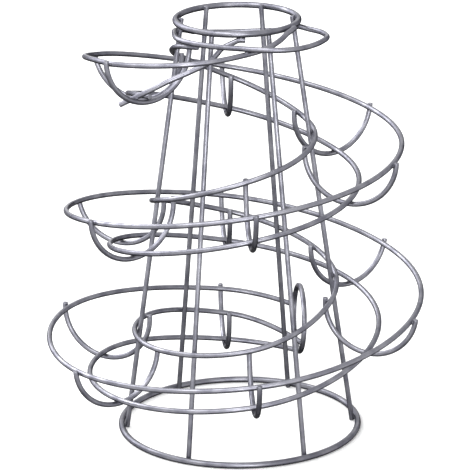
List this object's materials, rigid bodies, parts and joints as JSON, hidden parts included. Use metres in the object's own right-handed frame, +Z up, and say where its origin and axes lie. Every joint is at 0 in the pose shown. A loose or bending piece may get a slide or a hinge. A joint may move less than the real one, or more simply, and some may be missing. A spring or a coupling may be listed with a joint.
{
  "type": "rolling egg dispenser",
  "caption": "Free-standing spiral rack of welded steel wire. Eggs put in at the top roll down a trough of rails and round cradles and queue at a hoop.",
  "frame": {"origin": "middle of the rack's plan bounding box, level with the underside of the base ring", "axes": "+Z up the rack, -Y towards the front with the feed ramp's open side, +X to the right as seen from the front"},
  "size_m": [0.2662, 0.2806, 0.3],
  "materials": {
    "steel_wire": "satin grey plated wire"
  },
  "bodies": {
    "root": {"base_ring": "steel_wire", "top_ring": "steel_wire", "leg_1": "steel_wire", "leg_2": "steel_wire", "leg_3": "steel_wire", "leg_4": "steel_wire", "leg_5": "steel_wire", "leg_6": "steel_wire", "outer_rail": "steel_wire", "inner_rail": "steel_wire", "floor_rail": "steel_wire", "cradle_01": "steel_wire", "cradle_02": "steel_wire", "cradle_03": "steel_wire", "cradle_04": "steel_wire", "cradle_05": "steel_wire", "cradle_06": "steel_wire", "cradle_07": "steel_wire", "cradle_08": "steel_wire", "cradle_09": "steel_wire", "cradle_10": "steel_wire", "cradle_11": "steel_wire", "cradle_12": "steel_wire", "cradle_13": "steel_wire", "cradle_14": "steel_wire", "cradle_15": "steel_wire", "loading_loop": "steel_wire", "feed_ramp": "steel_wire", "end_hoop": "steel_wire"}
  },
  "joints": []
}
